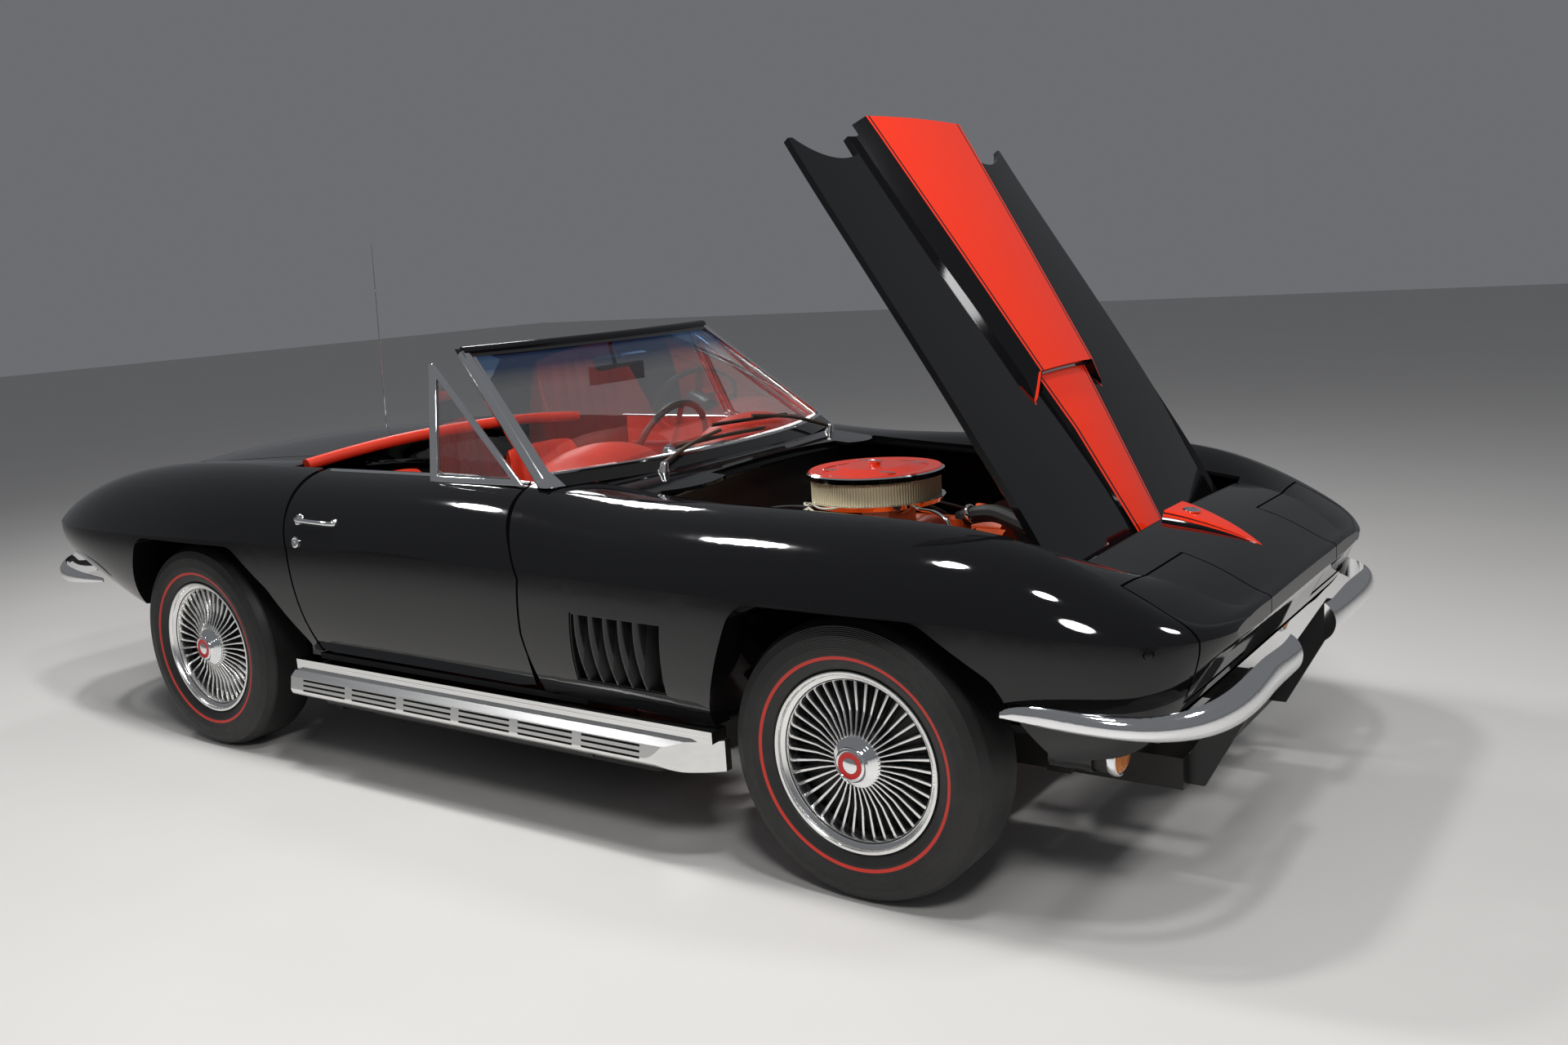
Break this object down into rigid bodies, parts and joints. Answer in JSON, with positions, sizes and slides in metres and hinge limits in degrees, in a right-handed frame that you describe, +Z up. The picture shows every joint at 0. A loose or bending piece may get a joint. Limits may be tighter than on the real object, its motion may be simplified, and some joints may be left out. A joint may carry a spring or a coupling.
{
  "type": "two-seat convertible car",
  "caption": "Low two-seat convertible car with peaked fenders, open scooped hood over its engine, hidden headlamps, side exhausts and finned wheels.",
  "frame": {"origin": "on the floor under the middle of the car", "axes": "+X forward, +Y to the car's left, +Z up"},
  "size_m": [4.4479, 1.7722, 1.8015],
  "materials": {
    "body": "high gloss black",
    "chrome": "bright",
    "clear": "clear",
    "tyre": "matt black with a red line",
    "wheel": "satin",
    "red_hide": "satin red",
    "red_trim": "satin red",
    "carpet": "dark red",
    "grip": "dark gloss",
    "frame": "satin black",
    "engine": "orange",
    "filter": "red and chrome",
    "bright": "satin",
    "grille": "dark satin",
    "iron": "dull",
    "amber": "clear amber",
    "red_lens": "clear red"
  },
  "bodies": {
    "car": {"body_front": "body", "body_rear": "body", "floor_tub": "carpet", "chassis_frame": "frame", "windshield_frame": "chrome", "windshield_glass": "clear", "dashboard": "red_trim", "steering_column": "frame", "console": "red_trim", "seat_left": "red_hide", "seat_right": "red_hide", "engine": "engine", "air_cleaner": "filter", "radiator": "frame", "expansion_tank": "bright", "grille": "grille", "front_bumpers": "chrome", "rear_bumpers": "chrome", "parking_lamps": "amber", "tail_lamps": "red_lens", "front_suspension": "frame", "rear_suspension": "frame", "side_exhausts": "bright", "wipers": "frame", "aerial": "chrome"},
    "door_left": {"door_left": "body", "vent_window_left": "clear"},
    "headlamp_pod_left": {"headlamp_pod_left": "body"},
    "knuckle_left": {"knuckle_left": "iron"},
    "wheel_front_left": {"wheel_front_left": "wheel", "tyre_front_left": "tyre"},
    "wheel_rear_left": {"wheel_rear_left": "wheel", "tyre_rear_left": "tyre"},
    "door_right": {"door_right": "body", "vent_window_right": "clear"},
    "headlamp_pod_right": {"headlamp_pod_right": "body"},
    "knuckle_right": {"knuckle_right": "iron"},
    "wheel_front_right": {"wheel_front_right": "wheel", "tyre_front_right": "tyre"},
    "wheel_rear_right": {"wheel_rear_right": "wheel", "tyre_rear_right": "tyre"},
    "hood": {"hood": "body"},
    "deck_lid": {"deck_lid": "body"},
    "fuel_lid": {"fuel_lid": "body"},
    "steering_wheel": {"steering_wheel": "grip"}
  },
  "joints": [
    {"name": "door_left_hinge", "type": "hinge", "parent": "car", "child": "door_left", "pos_m": [0.343, 0.842, 0.631], "axis": [0, 0, -1], "range_deg": [0, 65]},
    {"name": "headlamp_left_turn", "type": "hinge", "parent": "car", "child": "headlamp_pod_left", "pos_m": [2.077, 0.469, 0.645], "axis": [0, 1, 0], "range_deg": [0, 180]},
    {"name": "steer_left", "type": "hinge", "parent": "car", "child": "knuckle_left", "pos_m": [1.412, 0.636, 0.335], "axis": [0, 0, 1], "range_deg": [-30, 30]},
    {"name": "wheel_front_left_spin", "type": "hinge", "parent": "knuckle_left", "child": "wheel_front_left", "pos_m": [1.412, 0.7315, 0.335], "axis": [0, 1, 0], "continuous": true},
    {"name": "wheel_rear_left_spin", "type": "hinge", "parent": "car", "child": "wheel_rear_left", "pos_m": [-1.077, 0.7405, 0.335], "axis": [0, 1, 0], "continuous": true},
    {"name": "door_right_hinge", "type": "hinge", "parent": "car", "child": "door_right", "pos_m": [0.343, -0.842, 0.631], "axis": [0, 0, 1], "range_deg": [0, 65]},
    {"name": "headlamp_right_turn", "type": "hinge", "parent": "car", "child": "headlamp_pod_right", "pos_m": [2.077, -0.469, 0.645], "axis": [0, 1, 0], "range_deg": [0, 180]},
    {"name": "steer_right", "type": "hinge", "parent": "car", "child": "knuckle_right", "pos_m": [1.412, -0.636, 0.335], "axis": [0, 0, 1], "range_deg": [-30, 30]},
    {"name": "wheel_front_right_spin", "type": "hinge", "parent": "knuckle_right", "child": "wheel_front_right", "pos_m": [1.412, -0.7315, 0.335], "axis": [0, 1, 0], "continuous": true},
    {"name": "wheel_rear_right_spin", "type": "hinge", "parent": "car", "child": "wheel_rear_right", "pos_m": [-1.077, -0.7405, 0.335], "axis": [0, 1, 0], "continuous": true},
    {"name": "steering_wheel_turn", "type": "hinge", "parent": "car", "child": "steering_wheel", "pos_m": [-0.05, 0.372, 0.822], "axis": [-0.9397, 0, 0.342], "range_deg": [-520, 520]},
    {"name": "hood_hinge", "type": "hinge", "parent": "car", "child": "hood", "pos_m": [1.788, 0, 0.82], "axis": [0, 1, 0], "range_deg": [-52.5, 0]},
    {"name": "deck_lid_hinge", "type": "hinge", "parent": "car", "child": "deck_lid", "pos_m": [-1.548, 0, 0.9075], "axis": [0, -1, 0], "range_deg": [0, 60]},
    {"name": "fuel_lid_hinge", "type": "hinge", "parent": "car", "child": "fuel_lid", "pos_m": [-1.612, 0, 0.8985], "axis": [0, 1, 0], "range_deg": [0, 95]}
  ],
  "couplings": [
    {"joint": "steer_right", "follows": "steer_left", "ratio": 1},
    {"joint": "steering_wheel_turn", "follows": "steer_left", "ratio": 17}
  ]
}
